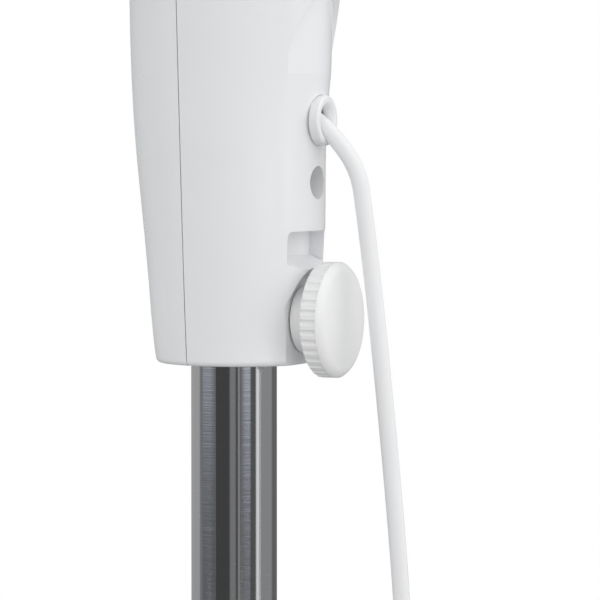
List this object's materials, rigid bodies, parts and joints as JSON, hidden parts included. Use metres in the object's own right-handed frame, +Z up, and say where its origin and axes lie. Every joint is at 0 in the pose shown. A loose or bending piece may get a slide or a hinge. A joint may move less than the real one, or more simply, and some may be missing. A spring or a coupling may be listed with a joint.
{
  "type": "pedestal fan",
  "caption": "Pedestal fan: round weighted base, telescopic chrome pole, slim control housing clamped by a ribbed thumb knob, tilting oscillating head with wire guards, cord and plug.",
  "frame": {"origin": "on the floor at the middle of the round base, on the pole's axis", "axes": "+Z up along the pole; the fan blows towards -Y; the thumb knob and the cord are on the +Y side"},
  "size_m": [0.438, 0.4875, 1.182],
  "materials": {
    "white_plastic": "moulded, fine satin",
    "housing_plastic": "moulded, smooth satin gloss",
    "strip_plastic": "smooth gloss",
    "button_plastic": "smooth gloss",
    "knob_plastic": "moulded, ribbed edge",
    "bush_plastic": "smooth",
    "cord_pvc": "smooth PVC",
    "dark_plastic": "moulded",
    "dark_rubber": "matt",
    "lamp_lens": "clear lens",
    "iron_plate": "black paint",
    "zinc_steel": "zinc plated",
    "white_paint": "smooth white powder coat",
    "pole_chrome": "polished, faint drawn lines",
    "cast_aluminium": "as cast",
    "winding_copper": "enamelled copper",
    "plug_brass": "nickelled",
    "guard_paint": "white powder coat",
    "badge_plastic": "smooth",
    "blade_plastic": "smooth moulded"
  },
  "bodies": {
    "base": {"base_cover": "white_plastic", "base_plate": "iron_plate", "base_feet": "dark_rubber", "base_bolt": "zinc_steel", "tube_plug": "dark_plastic", "outer_tube": "white_paint", "guide_collet": "dark_plastic", "thread_sleeve": "white_plastic", "cord_lower": "cord_pvc", "cord_coil": "cord_pvc", "cord_tie": "dark_plastic", "cord_tail": "cord_pvc", "plug_body": "cord_pvc", "plug_pins": "plug_brass"},
    "height_collar": {"height_collar": "white_plastic"},
    "column": {"inner_tube": "pole_chrome", "tube_bush": "dark_plastic", "rear_housing": "housing_plastic", "front_housing": "housing_plastic", "control_strip": "strip_plastic", "switch_block": "dark_plastic", "pilot_lamp": "lamp_lens", "run_capacitor": "dark_plastic", "terminal_block": "white_plastic", "pole_sleeve": "dark_plastic", "sleeve_screw": "zinc_steel", "housing_screws": "zinc_steel", "clamp_nut": "zinc_steel", "cord_bush": "bush_plastic", "cord_upper": "cord_pvc", "tilt_bracket": "white_plastic", "tilt_bolt": "zinc_steel"},
    "clamp_stud": {"clamp_stud": "zinc_steel"},
    "clamp_knob": {"clamp_knob": "knob_plastic"},
    "button_high": {"button_high": "button_plastic"},
    "button_medium": {"button_medium": "button_plastic"},
    "button_low": {"button_low": "button_plastic"},
    "button_off": {"button_off": "button_plastic"},
    "neck": {"neck": "white_plastic"},
    "tilt_knob": {"tilt_knob": "knob_plastic"},
    "head": {"motor_frame": "cast_aluminium", "stator_core": "iron_plate", "stator_windings": "winding_copper", "motor_bearings": "zinc_steel", "motor_front_cover": "white_plastic", "motor_rear_cover": "white_plastic", "rear_guard_plate": "guard_paint", "rear_guard_wires": "guard_paint", "rear_guard_rings": "guard_paint", "front_guard_wires": "guard_paint", "front_guard_rings": "guard_paint", "guard_band": "white_plastic", "guard_nut": "white_plastic", "guard_badge": "badge_plastic"},
    "swing_knob": {"swing_knob": "white_plastic"},
    "rotor": {"motor_rotor": "cast_aluminium", "motor_shaft": "zinc_steel", "fan_blade": "blade_plastic", "blade_nut": "white_plastic"}
  },
  "joints": [
    {"name": "height_slide", "type": "slide", "parent": "base", "child": "column", "axis": [0, 0, 1], "range_m": [0, 0.25]},
    {"name": "collar_turn", "type": "hinge", "parent": "base", "child": "height_collar", "pos_m": [0, 0, 0.52], "axis": [0, 0, 1], "range_deg": [-180, 180]},
    {"name": "clamp_screw", "type": "slide", "parent": "column", "child": "clamp_stud", "axis": [0, 1, 0], "range_m": [0, 0.002]},
    {"name": "clamp_turn", "type": "hinge", "parent": "clamp_stud", "child": "clamp_knob", "pos_m": [0, 0.028, 0.653], "axis": [0, 1, 0], "range_deg": [0, 720]},
    {"name": "press_high", "type": "slide", "parent": "column", "child": "button_high", "axis": [0, 1, 0], "range_m": [0, 0.003], "stiffness_N_per_m": 400},
    {"name": "press_medium", "type": "slide", "parent": "column", "child": "button_medium", "axis": [0, 1, 0], "range_m": [0, 0.003], "stiffness_N_per_m": 400},
    {"name": "press_low", "type": "slide", "parent": "column", "child": "button_low", "axis": [0, 1, 0], "range_m": [0, 0.003], "stiffness_N_per_m": 400},
    {"name": "press_off", "type": "slide", "parent": "column", "child": "button_off", "axis": [0, 1, 0], "range_m": [0, 0.003], "stiffness_N_per_m": 400},
    {"name": "head_tilt", "type": "hinge", "parent": "column", "child": "neck", "pos_m": [0, 0, 0.8465], "axis": [1, 0, 0], "range_deg": [-25, 10]},
    {"name": "tilt_screw", "type": "hinge", "parent": "column", "child": "tilt_knob", "pos_m": [0.02, 0, 0.8465], "axis": [1, 0, 0], "range_deg": [-180, 180]},
    {"name": "head_swing", "type": "hinge", "parent": "neck", "child": "head", "pos_m": [0, 0, 0.891], "axis": [0, 0, 1], "range_deg": [-40, 40]},
    {"name": "swing_pull", "type": "slide", "parent": "head", "child": "swing_knob", "axis": [0, 0, 1], "range_m": [0, 0.01]},
    {"name": "blade_spin", "type": "hinge", "parent": "head", "child": "rotor", "pos_m": [0, 0, 0.963], "axis": [0, 1, 0], "continuous": true}
  ],
  "couplings": [
    {"joint": "clamp_turn", "follows": "clamp_screw", "rad_per_m": 6283}
  ]
}
